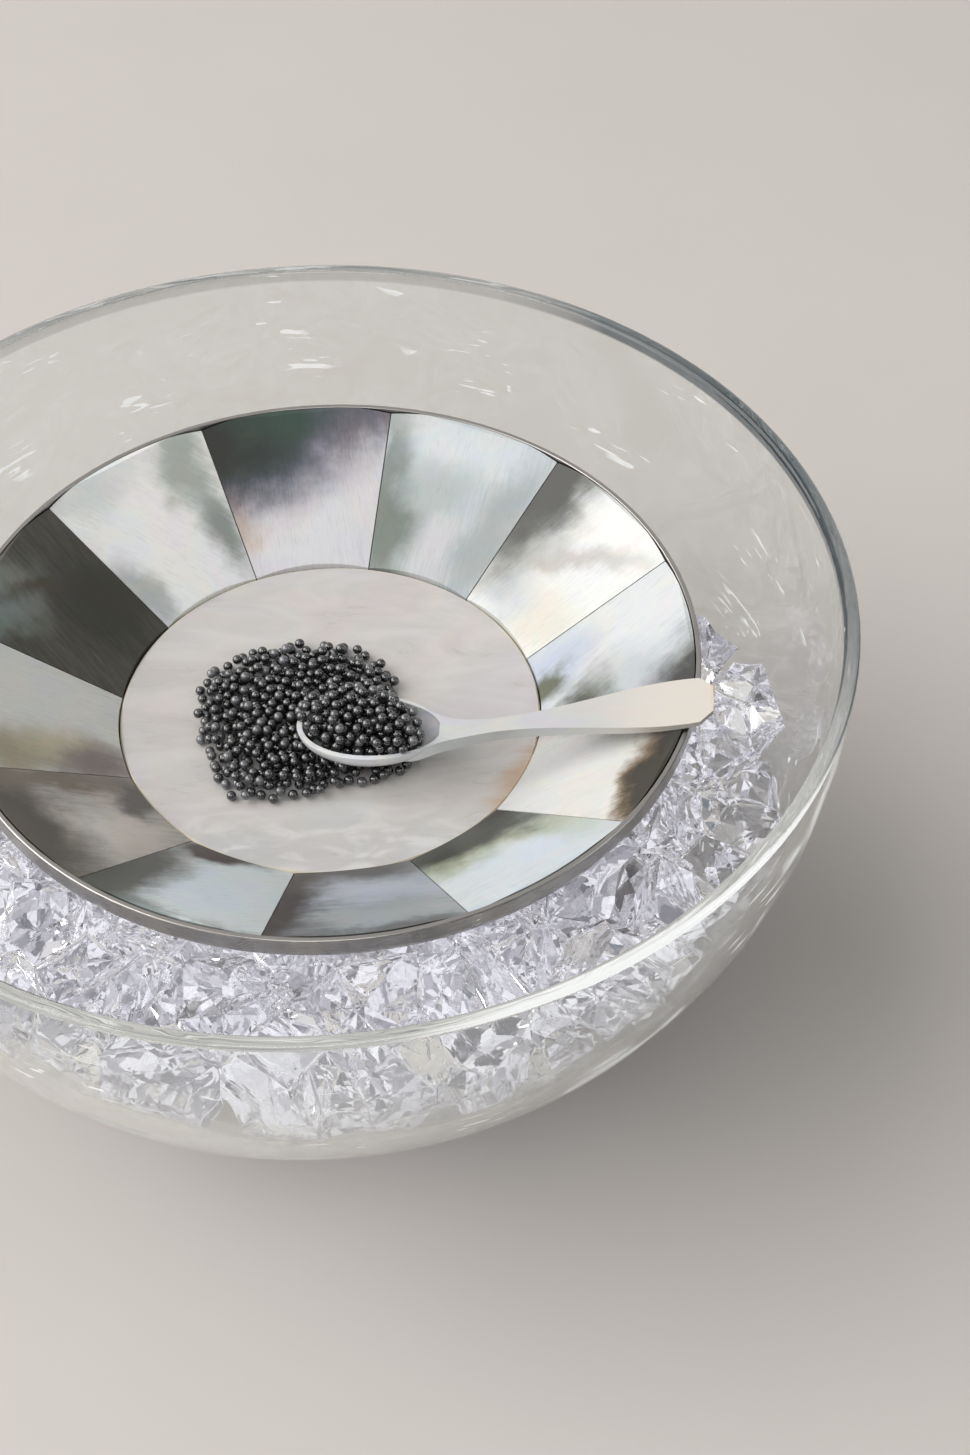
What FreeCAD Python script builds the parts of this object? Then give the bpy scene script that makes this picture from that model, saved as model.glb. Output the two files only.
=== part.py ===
import FreeCAD, Part
import math
import os
import random

# A caviar server: a glass bowl of crushed ice, an inlaid dish bedded in the ice,
# and a spoon lying in a heap of caviar. Millimetres and degrees, +Z up.
# The origin is the middle of the bowl's foot, on the surface that it stands on.

# Glass bowl
bowl_radius = 130.0
bowl_foot_radius = 42.0
bowl_wall = 3.8
bowl_floor = 6.0
bowl_floor_round = 60.0
bowl_rim_round = 1.3
bowl_foot_round = 2.5

# Dish: a spun metal shell lined with slips of mother-of-pearl set in resin
dish_radius = 90.0
dish_wall = 1.3
dish_below_bowl_rim = 15.5
dish_offset_x = 3.6
dish_offset_y = 0.3
dish_band_round = 2.5
dish_foot_round = 14.0
disc_radius = 51.6
disc_below_rim = 22.5
disc_thickness = 2.2
disc_edge_bevel = 0.35
tile_thickness = 2.0
tile_corner_below_rim = 1.2
tile_joints = (-9.6, 20.2, 49.7, 80.8, 113.3, 144.3, 173.8, 204.0, 232.8, 262.5, 292.8, 321.6)
joint_width = 0.3
joint_recess = 0.25
bed_under_tiles = 0.8
bed_under_disc = 1.3

# Spoon
spoon_length = 98.6
spoon_bowl_front = 16.5
spoon_bowl_rear = 18.0
spoon_bowl_width = 21.4
spoon_bowl_depth = 8.0
spoon_bowl_wall = 1.3
spoon_neck_at = 22.0
spoon_neck_width = 5.4
spoon_neck_thickness = 3.6
spoon_end_width = 14.2
spoon_end_thickness = 1.2
spoon_end_clip = 3.2
spoon_shoulder = ((0.17, 0.60), (0.46, 0.69), (0.66, 0.69), (0.82, 0.57), (1.0, 0.41))
spoon_overhang = 5.3
spoon_rim_angle = -13.6
spoon_yaw = -3.1

# Caviar
grain = 2.5
heap_outline = ((-32, 3), (-31, 15), (-22, 19), (-6, 21), (9, 13), (16, 2), (22, -12), (19, -22),
                (2, -30), (-8, -32), (-23, -30), (-31, -8))
heap_middle = (-7.0, -6.0)
heap_second_layer = 0.87
heap_third_layer = 0.68
spoonful_second_layer = 0.72
spoonful_third_layer = 0.42

# Crushed ice
ice_lump = 21.0
ice_below_dish_rim = 1.0
ice_at_back = 31.0
ice_from_wall_at_side = 13.0
ice_front_sector = (-170.0, 12.0)
ice_side_sector = (-42.0, 50.0)
ice_face_tilt = 0.025
ice_scatter = 0.19
ice_chips = 3
ice_seed = 11

# Clearances
fit_gap = 0.3
rest_gap = 0.15
glass_gap = 0.3


def vec(x, y, z):
    return FreeCAD.Vector(x, y, z)


def polar(radius, degrees, z=0.0):
    return vec(radius * math.cos(math.radians(degrees)), radius * math.sin(math.radians(degrees)), z)


def rounded_wire(points, rounds):
    """A closed wire in the XZ plane through (x, z) points, each corner rounded by its radius."""
    corners = [vec(x, 0, z) for x, z in points]
    stations = []
    count = len(corners)
    for i in range(count):
        corner = corners[i]
        if rounds[i] == 0:
            stations.append((corner, None, corner))
            continue
        back = (corners[i - 1] - corner).normalize()
        ahead = (corners[(i + 1) % count] - corner).normalize()
        half_angle = back.getAngle(ahead) / 2
        reach = rounds[i] / math.tan(half_angle)
        bisector = (back + ahead).normalize()
        centre = corner + bisector * (rounds[i] / math.sin(half_angle))
        stations.append((corner + back * reach, centre - bisector * rounds[i], corner + ahead * reach))
    edges = []
    for i in range(count):
        start, middle, end = stations[i]
        if middle is not None:
            edges.append(Part.Arc(start, middle, end).toShape())
        following = stations[(i + 1) % count][0]
        if (following - end).Length > 1e-6:
            edges.append(Part.LineSegment(end, following).toShape())
    return Part.Wire(edges)


def turned(wire):
    """The solid that a closed XZ profile sweeps round the Z axis."""
    return Part.Face(wire).revolve(vec(0, 0, 0), vec(0, 0, 1), 360)


# Heights and lines that several pieces share. The dish's own heights are counted from its rim.

bowl_height = math.sqrt(bowl_radius ** 2 - bowl_foot_radius ** 2)
bowl_inner_radius = bowl_radius - bowl_wall
dish_rim_z = bowl_height - dish_below_bowl_rim
dish_place = vec(dish_offset_x, dish_offset_y, dish_rim_z)

tile_inner_radius = disc_radius + fit_gap
tile_outer_radius = dish_radius - dish_wall - fit_gap
tile_drop = disc_below_rim - tile_corner_below_rim
joint_slope = tile_drop / (tile_outer_radius - tile_inner_radius)
joint_cosine = math.cos(math.atan(joint_slope))
widest_tile = max((tile_joints[i] - tile_joints[i - 1]) % 360 for i in range(len(tile_joints)))
tile_flush_radius = ((tile_inner_radius + disc_below_rim / joint_slope)
                     * math.cos(math.radians(widest_tile / 2)))
disc_seat_z = -disc_below_rim - disc_thickness
shell_floor_z = disc_seat_z - bed_under_disc
shell_foot_z = shell_floor_z - dish_wall


def joint_line(radius, below=0.0):
    """Height of the tiles' top surface along a joint, or of the line a distance below it."""
    return -disc_below_rim + (radius - tile_inner_radius) * joint_slope - below / joint_cosine


def joint_line_radius(z, below):
    """Radius at which that lowered line passes a height."""
    return tile_inner_radius + (z + disc_below_rim + below / joint_cosine) / joint_slope


shell_inside = tile_thickness + bed_under_tiles + fit_gap
shell_outside = shell_inside + dish_wall
shell_foot_radius = joint_line_radius(shell_foot_z, shell_outside)
shell_band_z = joint_line(dish_radius, shell_outside)


def glass_bowl():
    """A half sphere, cut flat at the foot, whose inside blends into a flat floor."""
    rim_z = bowl_height
    middle_z = -bowl_radius * math.sin(math.radians(45)) + rim_z
    middle_x = bowl_radius * math.cos(math.radians(45))
    blend = bowl_floor_round
    blend_z = bowl_floor + blend
    blend_x = math.sqrt((bowl_inner_radius - blend) ** 2 - (rim_z - blend_z) ** 2)
    tilt = math.atan2(rim_z - blend_z, blend_x)
    meet_x = bowl_inner_radius * math.cos(tilt)
    meet_z = rim_z - bowl_inner_radius * math.sin(tilt)
    turn = (tilt + math.pi / 2) / 2
    blend_middle = vec(blend_x + blend * math.cos(turn), 0, blend_z - blend * math.sin(turn))
    side = tilt / 2
    side_middle = vec(bowl_inner_radius * math.cos(side), 0, rim_z - bowl_inner_radius * math.sin(side))
    foot_corner = vec(bowl_foot_radius, 0, 0)
    outer_rim = vec(bowl_radius, 0, rim_z)
    inner_rim = vec(bowl_inner_radius, 0, rim_z)
    meet = vec(meet_x, 0, meet_z)
    floor_end = vec(blend_x, 0, bowl_floor)
    edges = [
        Part.LineSegment(vec(0, 0, 0), foot_corner).toShape(),
        Part.Arc(foot_corner, vec(middle_x, 0, middle_z), outer_rim).toShape(),
        Part.LineSegment(outer_rim, inner_rim).toShape(),
        Part.Arc(inner_rim, side_middle, meet).toShape(),
        Part.Arc(meet, blend_middle, floor_end).toShape(),
        Part.LineSegment(floor_end, vec(0, 0, bowl_floor)).toShape(),
        Part.LineSegment(vec(0, 0, bowl_floor), vec(0, 0, 0)).toShape(),
    ]
    bowl = turned(Part.Wire(edges))
    rim_edges = [e for e in bowl.Edges if e.BoundBox.ZMin > rim_z - 1e-3]
    foot_edges = [e for e in bowl.Edges if e.BoundBox.ZMax < 1e-3 and e.BoundBox.XMax > 1]
    return bowl.makeFillet(bowl_rim_round, rim_edges).makeFillet(bowl_foot_round, foot_edges)


def dish_shell():
    """The spun shell: a flat foot, a cone parallel to the tiles and a short upright rim band."""
    inner_radius = dish_radius - dish_wall
    points = [
        (0, shell_foot_z),
        (shell_foot_radius, shell_foot_z),
        (dish_radius, shell_band_z),
        (dish_radius, 0),
        (inner_radius, 0),
        (inner_radius, joint_line(inner_radius, shell_inside)),
        (joint_line_radius(shell_floor_z, shell_inside), shell_floor_z),
        (0, shell_floor_z),
    ]
    rounds = [0, dish_foot_round, dish_band_round, dish_wall * 0.3, dish_wall * 0.2,
              dish_wall * 0.5, dish_foot_round - dish_wall, 0]
    return turned(rounded_wire(points, rounds))


def pearl_tile(first, last):
    """One flat slip between two joints, tilted so that its corners lie on the joint line."""
    half = (last - first) / 2
    middle = (last + first) / 2
    reach = 2 * dish_radius
    apex = polar(joint_width / 2 / math.sin(math.radians(half)), middle, -reach)
    corners = [apex, apex + polar(reach, first), apex + polar(reach, last), apex]
    wedge = Part.Face(Part.makePolygon(corners)).extrude(vec(0, 0, reach))
    outer = Part.makeCylinder(tile_outer_radius, reach, vec(0, 0, -reach))
    ring = outer.cut(Part.makeCylinder(tile_inner_radius, reach, vec(0, 0, -reach)))
    chord = math.cos(math.radians(half))
    tilt = math.degrees(math.atan(joint_slope / chord))
    slab = Part.makeBox(2 * reach, 2 * reach, tile_thickness, vec(-reach, -reach, -tile_thickness))
    slab.rotate(vec(0, 0, 0), vec(0, 1, 0), -tilt)
    slab.translate(vec(tile_inner_radius * chord, 0, -disc_below_rim))
    slab.rotate(vec(0, 0, 0), vec(0, 0, 1), middle)
    return slab.common(wedge).common(ring)


def centre_disc():
    disc = Part.makeCylinder(disc_radius, disc_thickness, vec(0, 0, disc_seat_z))
    top_edges = [e for e in disc.Edges if e.BoundBox.ZMin > -disc_below_rim - 1e-3]
    return disc.makeChamfer(disc_edge_bevel, top_edges)


def setting_resin(tiles):
    """The resin that beds the slips: it fills the joints to just below their top."""
    floor_radius = joint_line_radius(shell_floor_z, tile_thickness + bed_under_tiles)
    points = [
        (0, shell_floor_z),
        (floor_radius, shell_floor_z),
        (tile_outer_radius, joint_line(tile_outer_radius, tile_thickness + bed_under_tiles)),
        (tile_outer_radius, joint_line(tile_outer_radius) - joint_recess),
        (tile_inner_radius, joint_line(tile_inner_radius) - joint_recess),
        (tile_inner_radius, disc_seat_z),
        (0, disc_seat_z),
    ]
    rounds = [0, dish_foot_round - dish_wall - fit_gap, 0, 0, 0, 0, 0]
    return turned(rounded_wire(points, rounds)).cut(Part.makeCompound(tiles))


# The spoon is shaped with its bowl's middle at the origin, its bowl's rim in the XY plane and its
# handle towards +X, and is then laid in the dish, with the handle across the rim.

spoon_end_x = spoon_length - spoon_bowl_front
spoon_contact_x = spoon_end_x - spoon_overhang
heap_layer = grain * math.sqrt(2.0 / 3.0)
heap_under_spoon_z = -disc_below_rim + grain + heap_layer
spoon_z = heap_under_spoon_z + rest_gap + spoon_bowl_depth
spoon_rim_point = polar(dish_radius - dish_wall, spoon_rim_angle)
spoon_place = spoon_rim_point - polar(spoon_contact_x, spoon_yaw) + vec(0, 0, spoon_z)
spoon_edge_offset = abs(spoon_rim_point * polar(1, spoon_yaw + 90)) + spoon_end_width / 2
spoon_along_rim = spoon_rim_point * polar(1, spoon_yaw)
spoon_first_contact_x = (spoon_contact_x - spoon_along_rim
                         + math.sqrt(tile_flush_radius ** 2 - spoon_edge_offset ** 2))


def place_spoon(shape):
    shape.rotate(vec(0, 0, 0), vec(0, 0, 1), spoon_yaw)
    shape.translate(spoon_place)
    return shape


def half_egg(front, rear, half_width, depth):
    """The lower half of an egg: two quarter ellipsoids, back to back at x = 0."""
    halves = []
    for length, turn in ((rear, -90), (front, 90)):
        quarter = Part.makeSphere(1, vec(0, 0, 0), vec(0, 0, 1), -90, 0, 180)
        quarter.rotate(vec(0, 0, 0), vec(0, 0, 1), turn)
        stretch = FreeCAD.Matrix()
        stretch.scale(length, half_width, depth)
        halves.append(quarter.transformGeometry(stretch))
    return halves[0].fuse(halves[1])


def spoon_hollow(clearance=0.0):
    wall = spoon_bowl_wall + clearance
    return half_egg(spoon_bowl_front - wall, spoon_bowl_rear - clearance,
                    spoon_bowl_width / 2 - wall, spoon_bowl_depth - wall)


def spoon_handle():
    """The handle: an outline seen from above, cut to a side view that rises from the neck."""
    neck = spoon_neck_width / 2
    end = spoon_end_width / 2
    halfway = (spoon_neck_at + spoon_end_x) / 2
    side = [(spoon_bowl_rear * along, spoon_bowl_width / 2 * across) for along, across in spoon_shoulder]
    side += [(spoon_neck_at + neck, neck), (halfway, neck + (end - neck) * 0.4),
             (spoon_end_x - spoon_end_clip, end)]
    curve = Part.BSplineCurve()
    curve.interpolate([vec(x, y, 0) for x, y in side])
    left = curve.toShape()
    right = left.mirror(vec(0, 0, 0), vec(0, 1, 0))
    start_x = side[0][0]
    start_y = side[0][1]
    tip_y = end - spoon_end_clip
    end_points = [vec(spoon_end_x - spoon_end_clip, end, 0), vec(spoon_end_x, tip_y, 0),
                  vec(spoon_end_x, -tip_y, 0), vec(spoon_end_x - spoon_end_clip, -end, 0)]
    end_edges = [Part.LineSegment(end_points[i], end_points[i + 1]).toShape() for i in range(3)]
    start_edge = Part.LineSegment(vec(start_x, -start_y, 0), vec(start_x, start_y, 0)).toShape()
    outline = Part.Wire(Part.__sortEdges__([start_edge, left] + end_edges + [right]))
    tall = 4 * spoon_bowl_depth
    block = Part.Face(outline).extrude(vec(0, 0, 2 * tall))
    block.translate(vec(0, 0, -tall))

    span = spoon_first_contact_x - spoon_neck_at
    underside_slope = (rest_gap - spoon_z + spoon_neck_thickness) / span
    taper = (spoon_neck_thickness - spoon_end_thickness) / (spoon_end_x - spoon_neck_at)
    past_end = spoon_end_x + spoon_end_clip - spoon_neck_at
    lift = underside_slope * past_end
    side_view = rounded_wire(
        [(0, 0), (spoon_neck_at, 0),
         (spoon_neck_at + past_end, lift - taper * past_end),
         (spoon_neck_at + past_end, lift - spoon_neck_thickness),
         (spoon_neck_at, -spoon_neck_thickness), (0, -spoon_neck_thickness)],
        [0, spoon_length * 0.4, 0, 0, spoon_length * 0.35, 0])
    profile = Part.Face(side_view).extrude(vec(0, 2 * spoon_end_width, 0))
    profile.translate(vec(0, -spoon_end_width, 0))
    return block.common(profile)


def spoon():
    half_width = spoon_bowl_width / 2
    bowl = half_egg(spoon_bowl_front, spoon_bowl_rear, half_width, spoon_bowl_depth)
    return place_spoon(bowl.fuse(spoon_handle()).cut(spoon_hollow()).removeSplitter())


def spoon_underside(x, y, margin):
    """Lowest height of the spoon's bowl within a margin of a point of the dish, or None."""
    offset = vec(x, y, 0) - vec(spoon_place.x, spoon_place.y, 0)
    along = offset * polar(1, spoon_yaw)
    across = offset * polar(1, spoon_yaw + 90)
    length = spoon_bowl_rear if along > 0 else spoon_bowl_front
    share = math.hypot(along / length, across / (spoon_bowl_width / 2)) - margin / (spoon_bowl_width / 2)
    if share >= 1:
        return None
    return spoon_z - spoon_bowl_depth * math.sqrt(1 - max(share, 0) ** 2)


def inside(point, outline, scale, middle):
    """Whether a point lies in an outline shrunk by a scale about its middle."""
    x = middle[0] + (point[0] - middle[0]) / scale
    y = middle[1] + (point[1] - middle[1]) / scale
    hit = False
    for i in range(len(outline)):
        x1, y1 = outline[i - 1]
        x2, y2 = outline[i]
        if (y1 > y) != (y2 > y) and x < x1 + (y - y1) * (x2 - x1) / (y2 - y1):
            hit = not hit
    return hit


def cell_middle(q, r):
    return (grain * (q + r / 2), grain * r * math.sqrt(3) / 2)


def grain_mound(layers, bottom_z):
    """A closed solid with one blunt six-sided knob for each grain on top.

    layers maps a cell of a six-sided grid to the number of grains piled there.
    """
    neighbours = [(1, 0), (0, 1), (-1, 1), (-1, 0), (0, -1), (1, -1)]
    corner_reach = grain / math.sqrt(3)
    valley = 0.35 * grain
    knob = 0.45

    def level(count):
        return bottom_z + valley + (count - 1) * heap_layer if count else bottom_z

    def corner(q, r, k, z, share=1.0):
        x, y = cell_middle(q, r)
        angle = math.radians(60 * k + 30)
        reach = corner_reach * share
        return vec(round(x + reach * math.cos(angle), 6), round(y + reach * math.sin(angle), 6), z)

    def face(points):
        return Part.Face(Part.makePolygon(points + [points[0]]))

    faces = []
    for (q, r), count in layers.items():
        low = level(count)
        top = bottom_z + (count - 1) * heap_layer + grain
        faces.append(face([corner(q, r, k, top, knob) for k in range(6)]))
        faces.append(face([corner(q, r, k, bottom_z) for k in range(6)]))
        for k in range(6):
            faces.append(face([corner(q, r, k - 1, low), corner(q, r, k, low),
                               corner(q, r, k, top, knob), corner(q, r, k - 1, top, knob)]))
            beside = layers.get((q + neighbours[k][0], r + neighbours[k][1]), 0)
            for step in range(beside, count):
                faces.append(face([corner(q, r, k - 1, level(step)), corner(q, r, k, level(step)),
                                   corner(q, r, k, level(step + 1)),
                                   corner(q, r, k - 1, level(step + 1))]))
    shell = Part.Shell(faces)
    shell.sewShape()
    return Part.Solid(shell).removeSplitter()


def caviar_heap():
    """The heap on the centre slip, two grains deep under the spoon and three beside it."""
    layers = {}
    reach = int(2 * disc_radius / grain)
    for q in range(-reach, reach + 1):
        for r in range(-reach, reach + 1):
            middle = cell_middle(q, r)
            if math.hypot(*middle) > disc_radius - 2 * grain:
                continue
            count = 0
            for scale in (1.0, heap_second_layer, heap_third_layer):
                count += inside(middle, heap_outline, scale, heap_middle)
            under = spoon_underside(middle[0], middle[1], grain)
            while count and under is not None:
                if -disc_below_rim + grain + (count - 1) * heap_layer + rest_gap / 2 < under:
                    break
                count -= 1
            if count:
                layers[(q, r)] = count
    return grain_mound(layers, -disc_below_rim)


def spoonful():
    """The grains piled in the spoon, shaped underneath to its hollow."""
    front = spoon_bowl_front - spoon_bowl_wall - grain
    rear = spoon_bowl_rear - 2 * grain
    half_width = spoon_bowl_width / 2 - spoon_bowl_wall - 0.7 * grain
    floor_z = -1.5 * grain
    layers = {}
    reach = int(2 * spoon_bowl_rear / grain)
    for q in range(-reach, reach + 1):
        for r in range(-reach, reach + 1):
            x, y = cell_middle(q, r)
            share = math.hypot(x / (rear if x > 0 else front), y / half_width)
            count = (share < 1) + (share < spoonful_second_layer) + (share < spoonful_third_layer)
            if count:
                layers[(q, r)] = count
    mound = grain_mound(layers, floor_z)
    room = spoon_hollow(fit_gap)
    above = Part.makeBox(4 * spoon_bowl_rear, 4 * spoon_bowl_width, 4 * spoon_bowl_depth,
                         vec(-2 * spoon_bowl_rear, -2 * spoon_bowl_width, -0.6 * grain))
    return place_spoon(mound.common(room.fuse(above)))


# Crushed ice. The lumps are the cells round scattered points, cut back from each other, from the
# glass and from the dish, with a few corners broken off.


def clip(faces, normal, limit):
    """Cut a convex body, held as a list of faces, back to where normal * point <= limit."""
    kept = []
    rim = []
    cut = False
    for points in faces:
        heights = [normal * p - limit for p in points]
        if max(heights) <= 1e-6:
            kept.append(points)
            continue
        cut = True
        trimmed = []
        for i in range(len(points)):
            here, there = points[i - 1], points[i]
            a, b = heights[i - 1], heights[i]
            if a <= 0:
                trimmed.append(here)
            if (a < 0 < b) or (b < 0 < a):
                crossing = here + (there - here) * (a / (a - b))
                trimmed.append(crossing)
                rim.append(crossing)
            elif a == 0:
                rim.append(here)
        if len(trimmed) > 2:
            kept.append(trimmed)
    if not cut or len(rim) < 3:
        return kept
    centre = sum(rim, vec(0, 0, 0)) * (1.0 / len(rim))
    across = (rim[0] - centre).normalize()
    up = normal.cross(across)
    rim.sort(key=lambda p: math.atan2((p - centre) * up, (p - centre) * across))
    cap = [p for i, p in enumerate(rim) if (p - rim[i - 1]).Length > 1e-5]
    if len(cap) > 2:
        kept.append(cap)
    return kept


def dish_outline():
    """The dish's outside as (radius, z) points, counted from its rim."""
    return [(0, shell_foot_z), (shell_foot_radius, shell_foot_z), (dish_radius, shell_band_z),
            (dish_radius, 0), (0, 0)]


def away_from_dish(point):
    """Distance from the dish's outside to a point, and the direction out, or None inside it."""
    local = point - dish_place
    radius = math.hypot(local.x, local.y)
    outline = dish_outline()
    best = None
    for i in range(len(outline) - 1):
        (r1, z1), (r2, z2) = outline[i], outline[i + 1]
        length = math.hypot(r2 - r1, z2 - z1)
        out = ((z2 - z1) / length, -(r2 - r1) / length)
        side = (radius - r1) * out[0] + (local.z - z1) * out[1]
        if side <= 0:
            continue
        share = ((radius - r1) * (r2 - r1) + (local.z - z1) * (z2 - z1)) / length ** 2
        share = min(1, max(0, share))
        near = (r1 + (r2 - r1) * share, z1 + (z2 - z1) * share)
        distance = math.hypot(radius - near[0], local.z - near[1])
        if best is None or distance < best[0]:
            best = (distance, near)
    if best is None:
        return None
    distance, near = best
    round_angle = math.atan2(local.y, local.x)
    nearest = vec(near[0] * math.cos(round_angle), near[0] * math.sin(round_angle), near[1]) + dish_place
    return distance, (point - nearest).normalize(), nearest


def glass_limit(normal):
    """How far the inside of the bowl reaches from the origin along a downward or level normal."""
    down = -normal.z
    level = math.sqrt(max(0, 1 - down ** 2))
    blend_z = bowl_floor + bowl_floor_round
    blend_x = math.sqrt((bowl_inner_radius - bowl_floor_round) ** 2 - (bowl_height - blend_z) ** 2)
    sphere = -bowl_height * down + bowl_inner_radius
    blend = blend_x * level - blend_z * down + bowl_floor_round
    steep = math.atan2(bowl_height - blend_z, blend_x)
    return sphere if math.atan2(down, level) < steep else blend


def in_sector(angle, sector):
    return (angle - sector[0]) % 360 <= (sector[1] - sector[0]) % 360


def ice_holds(point):
    """Whether a lump may be centred here: in the bowl, under the ice's top and clear of the dish."""
    radius = math.hypot(point.x, point.y)
    angle = math.degrees(math.atan2(point.y, point.x))
    half = ice_lump * 0.36
    edge = ice_lump * 0.17
    below = bowl_height - point.z
    if point.z < bowl_floor + edge:
        return False
    if math.hypot(radius, below) > bowl_inner_radius - edge:
        return False
    top = dish_rim_z - (ice_below_dish_rim if in_sector(angle, ice_front_sector) else ice_at_back)
    if point.z > top - half:
        return False
    if in_sector(angle, ice_side_sector) and point.z > dish_rim_z - ice_at_back:
        if radius > bowl_inner_radius - ice_from_wall_at_side - half:
            return False
    away = away_from_dish(point)
    return away is not None and away[0] > edge


def scattered_points():
    """Points in two interleaved cubic grids, each moved a little at random."""
    scatter = random.Random(ice_seed)
    spacing = ice_lump * 2 ** (1 / 3)
    reach = int(bowl_radius / spacing) + 2
    points = []
    for i in range(-reach, reach + 1):
        for j in range(-reach, reach + 1):
            for k in range(-1, reach + 1):
                for half in (0.0, 0.5):
                    shift = [scatter.uniform(-ice_scatter, ice_scatter) for _ in range(3)]
                    points.append(vec(i + half + shift[0], j + half + shift[1],
                                      k + half + shift[2]) * spacing)
    return points


def ice_lump_faces(seed, points, scatter):
    size = ice_lump * 1.5
    neighbours_within = ice_lump * 2.4
    box = Part.makeBox(2 * size, 2 * size, 2 * size, seed - vec(size, size, size))
    faces = [[v.Point for v in f.OuterWire.OrderedVertexes] for f in box.Faces]
    gap = (fit_gap + ice_face_tilt * ice_lump) / 2
    for other in points:
        across = other - seed
        distance = across.Length
        if distance < 1e-6 or distance > neighbours_within:
            continue
        tilt = vec(*[scatter.uniform(-1, 1) for _ in range(3)]) * ice_face_tilt
        normal = (across * (1 / distance) + tilt).normalize()
        faces = clip(faces, normal, normal * seed + distance / 2 - gap)
    away = away_from_dish(seed)
    faces = clip(faces, away[1] * -1, away[1] * -1 * away[2] - fit_gap)
    heading = math.degrees(math.atan2(seed.y, seed.x))
    facet = 10
    facet_bulge = bowl_inner_radius * (1 - math.cos(math.radians(facet * 0.7)))
    for turn in range(-4 * facet, 4 * facet + 1, facet):
        for dip in range(0, 91, facet):
            level = math.cos(math.radians(dip))
            normal = polar(level, heading + turn, -math.sin(math.radians(dip)))
            bulge = 0 if dip == 90 else facet_bulge
            faces = clip(faces, normal, glass_limit(normal) - glass_gap - bulge)
    chip_from, chip_to = 0.62, 0.85
    for _ in range(ice_chips):
        chip = vec(*[scatter.gauss(0, 1) for _ in range(3)]).normalize()
        furthest = max(chip * p for points in faces for p in points)
        nearest = chip * seed
        faces = clip(faces, chip, nearest + (furthest - nearest) * scatter.uniform(chip_from, chip_to))
    return faces


def crushed_ice():
    points = scattered_points()
    scatter = random.Random(ice_seed + 1)
    lumps = []
    for seed in points:
        if not ice_holds(seed):
            continue
        faces = ice_lump_faces(seed, points, scatter)
        shell = Part.Shell([Part.Face(Part.makePolygon(f + [f[0]])) for f in faces])
        shell.sewShape()
        lumps.append(Part.Solid(shell))
    return lumps


def write(name, shape):
    shape.exportStep("parts/%s.step" % name)


def in_dish(shape):
    shape.translate(dish_place)
    return shape


def main():
    os.makedirs("parts", exist_ok=True)
    write("glass_bowl", glass_bowl())
    write("dish_shell", in_dish(dish_shell()))
    tiles = []
    for i, first in enumerate(tile_joints):
        last = tile_joints[i + 1] if i + 1 < len(tile_joints) else tile_joints[0] + 360
        tiles.append(pearl_tile(first, last))
    write("setting_resin", in_dish(setting_resin(tiles)))
    for i, tile in enumerate(tiles):
        write("pearl_tile_%02d" % (i + 1), in_dish(tile))
    write("centre_disc", in_dish(centre_disc()))
    write("spoon", in_dish(spoon()))
    write("caviar_heap", in_dish(caviar_heap()))
    write("spoonful_of_caviar", in_dish(spoonful()))
    write("crushed_ice", Part.makeCompound(crushed_ice()))


main()
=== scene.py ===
import math
import random

import bmesh
import bpy
from mathutils import Matrix, Vector


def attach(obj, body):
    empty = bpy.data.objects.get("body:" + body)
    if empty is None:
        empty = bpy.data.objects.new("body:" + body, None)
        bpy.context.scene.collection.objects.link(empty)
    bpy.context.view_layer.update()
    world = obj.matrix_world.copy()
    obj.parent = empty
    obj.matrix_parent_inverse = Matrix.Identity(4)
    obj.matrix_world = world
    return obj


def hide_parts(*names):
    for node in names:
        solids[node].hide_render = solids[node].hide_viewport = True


# A caviar server: an inlaid mother-of-pearl dish bedded in a glass bowl of crushed ice, with
# caviar and a spoon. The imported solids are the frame, and this script gives them their looks.

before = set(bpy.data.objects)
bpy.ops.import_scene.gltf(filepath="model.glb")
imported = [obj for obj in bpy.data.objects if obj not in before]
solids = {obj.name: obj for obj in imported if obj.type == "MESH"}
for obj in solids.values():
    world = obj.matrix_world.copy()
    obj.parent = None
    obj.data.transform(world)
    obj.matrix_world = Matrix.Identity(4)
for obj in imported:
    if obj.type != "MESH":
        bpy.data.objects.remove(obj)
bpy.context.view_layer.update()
mm = 0.001


# The camera stands in front of the bowl and above it, and looks down at about 47 degrees, close
# to the middle of the dish.

camera_place = (41.6 * mm, -472.7 * mm, 585.5 * mm)
camera_pitch = 43.05
camera_roll = -0.49
camera_lens = 69.28
camera = bpy.data.objects.new("camera", bpy.data.cameras.new("camera"))
camera.data.lens = camera_lens
camera.data.sensor_width = 36
camera.matrix_world = (Matrix.Translation(camera_place)
                       @ Matrix.Rotation(math.radians(camera_pitch), 4, "X")
                       @ Matrix.Rotation(math.radians(camera_roll), 4, "Z"))
bpy.context.scene.collection.objects.link(camera)
bpy.context.scene.camera = camera


# Glass bowl: one blown half sphere of clear glass with a fire-polished rim, ground flat at the
# foot. The glass is about 4 mm thick and a little wavy, with a few painted glints on it: short
# white strokes that glow. Its rim has painted shade at the right and back, and painted light at
# the lower right.


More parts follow.
